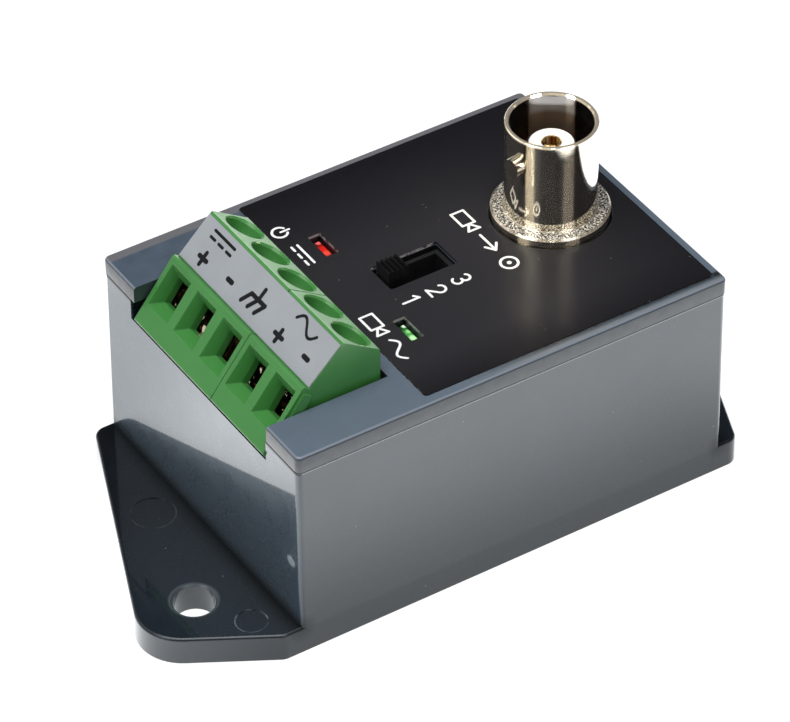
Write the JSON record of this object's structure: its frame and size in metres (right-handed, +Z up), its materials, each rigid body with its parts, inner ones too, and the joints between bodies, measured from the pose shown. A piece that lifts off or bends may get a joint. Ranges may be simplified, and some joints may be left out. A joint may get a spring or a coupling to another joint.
{
  "type": "cctv video balun",
  "caption": "Small screw-down box that joins a coaxial video jack to an angled screw terminal strip, with a sliding gain switch and two lights.",
  "frame": {"origin": "centre of the base, in the plane that it rests on", "axes": "+X along the box towards the coaxial jack, -X end holds the terminal strip, +Z up"},
  "size_m": [0.0776, 0.0378, 0.0373],
  "materials": {
    "case_plastic": "semi-gloss moulded slate grey",
    "lid_plastic": "semi-gloss moulded slate grey",
    "film_plastic": "glossy black printed film",
    "terminal_plastic": "moulded green",
    "label_plastic": "matt grey label",
    "board_laminate": "green solder mask",
    "zinc_steel": "zinc plated",
    "black_plastic": "satin black",
    "contact_brass": "tinned brass",
    "jack_nickel": "nickel plated casting",
    "insulator_plastic": "white, satin",
    "gold_contact": "gold plated",
    "chip_plastic": "black moulding",
    "choke_ferrite": "sintered ferrite",
    "red_lens": "clear red lens",
    "green_lens": "clear green lens",
    "capacitor_can": "bare can"
  },
  "bodies": {
    "base": {"housing": "case_plastic", "lid": "lid_plastic", "lid_film": "film_plastic", "terminal_block_3way": "terminal_plastic", "terminal_block_2way": "terminal_plastic", "terminal_label": "label_plastic", "circuit_board": "board_laminate", "board_screws": "zinc_steel", "switch_body": "black_plastic", "switch_base": "black_plastic", "jack_shell": "jack_nickel", "jack_insulator": "insulator_plastic", "jack_contact": "gold_contact", "driver_chip": "chip_plastic", "voltage_regulator": "chip_plastic", "surge_diode": "chip_plastic", "line_choke": "choke_ferrite", "power_led": "red_lens", "video_led": "green_lens", "capacitor_1": "capacitor_can", "capacitor_2": "capacitor_can", "terminal_pin_1": "contact_brass", "terminal_pin_2": "contact_brass", "terminal_pin_3": "contact_brass", "terminal_pin_4": "contact_brass", "terminal_pin_5": "contact_brass", "switch_pin_1": "contact_brass", "switch_pin_2": "contact_brass", "switch_pin_3": "contact_brass", "switch_pin_4": "contact_brass", "resistor_1": "chip_plastic", "resistor_2": "chip_plastic", "resistor_3": "chip_plastic", "resistor_4": "chip_plastic"},
    "slider": {"switch_knob": "black_plastic", "switch_contact": "contact_brass"},
    "screw_1": {"clamp_screw_1": "zinc_steel"},
    "clamp_1": {"wire_clamp_1": "contact_brass"},
    "screw_2": {"clamp_screw_2": "zinc_steel"},
    "clamp_2": {"wire_clamp_2": "contact_brass"},
    "screw_3": {"clamp_screw_3": "zinc_steel"},
    "clamp_3": {"wire_clamp_3": "contact_brass"},
    "screw_4": {"clamp_screw_4": "zinc_steel"},
    "clamp_4": {"wire_clamp_4": "contact_brass"},
    "screw_5": {"clamp_screw_5": "zinc_steel"},
    "clamp_5": {"wire_clamp_5": "contact_brass"}
  },
  "joints": [
    {"name": "switch_slide", "type": "slide", "parent": "base", "child": "slider", "axis": [1, 0, 0], "range_m": [0, 0.0053]},
    {"name": "screw_turn_1", "type": "hinge", "parent": "base", "child": "screw_1", "pos_m": [-0.01576, 0.0099, 0.02767], "axis": [0.5736, 0, 0.8192], "range_deg": [-1440, 0]},
    {"name": "clamp_rise_1", "type": "slide", "parent": "base", "child": "clamp_1", "axis": [0.5736, 0, 0.8192], "range_m": [0, 0.0018]},
    {"name": "screw_turn_2", "type": "hinge", "parent": "base", "child": "screw_2", "pos_m": [-0.01576, 0.0049, 0.02767], "axis": [0.5736, 0, 0.8192], "range_deg": [-1440, 0]},
    {"name": "clamp_rise_2", "type": "slide", "parent": "base", "child": "clamp_2", "axis": [0.5736, 0, 0.8192], "range_m": [0, 0.0018]},
    {"name": "screw_turn_3", "type": "hinge", "parent": "base", "child": "screw_3", "pos_m": [-0.01576, -0.0001, 0.02767], "axis": [0.5736, 0, 0.8192], "range_deg": [-1440, 0]},
    {"name": "clamp_rise_3", "type": "slide", "parent": "base", "child": "clamp_3", "axis": [0.5736, 0, 0.8192], "range_m": [0, 0.0018]},
    {"name": "screw_turn_4", "type": "hinge", "parent": "base", "child": "screw_4", "pos_m": [-0.01576, -0.0051, 0.02767], "axis": [0.5736, 0, 0.8192], "range_deg": [-1440, 0]},
    {"name": "clamp_rise_4", "type": "slide", "parent": "base", "child": "clamp_4", "axis": [0.5736, 0, 0.8192], "range_m": [0, 0.0018]},
    {"name": "screw_turn_5", "type": "hinge", "parent": "base", "child": "screw_5", "pos_m": [-0.01576, -0.0101, 0.02767], "axis": [0.5736, 0, 0.8192], "range_deg": [-1440, 0]},
    {"name": "clamp_rise_5", "type": "slide", "parent": "base", "child": "clamp_5", "axis": [0.5736, 0, 0.8192], "range_m": [0, 0.0018]}
  ],
  "couplings": [
    {"joint": "screw_turn_1", "follows": "clamp_rise_1", "rad_per_m": -13963},
    {"joint": "screw_turn_2", "follows": "clamp_rise_2", "rad_per_m": -13963},
    {"joint": "screw_turn_3", "follows": "clamp_rise_3", "rad_per_m": -13963},
    {"joint": "screw_turn_4", "follows": "clamp_rise_4", "rad_per_m": -13963},
    {"joint": "screw_turn_5", "follows": "clamp_rise_5", "rad_per_m": -13963}
  ]
}
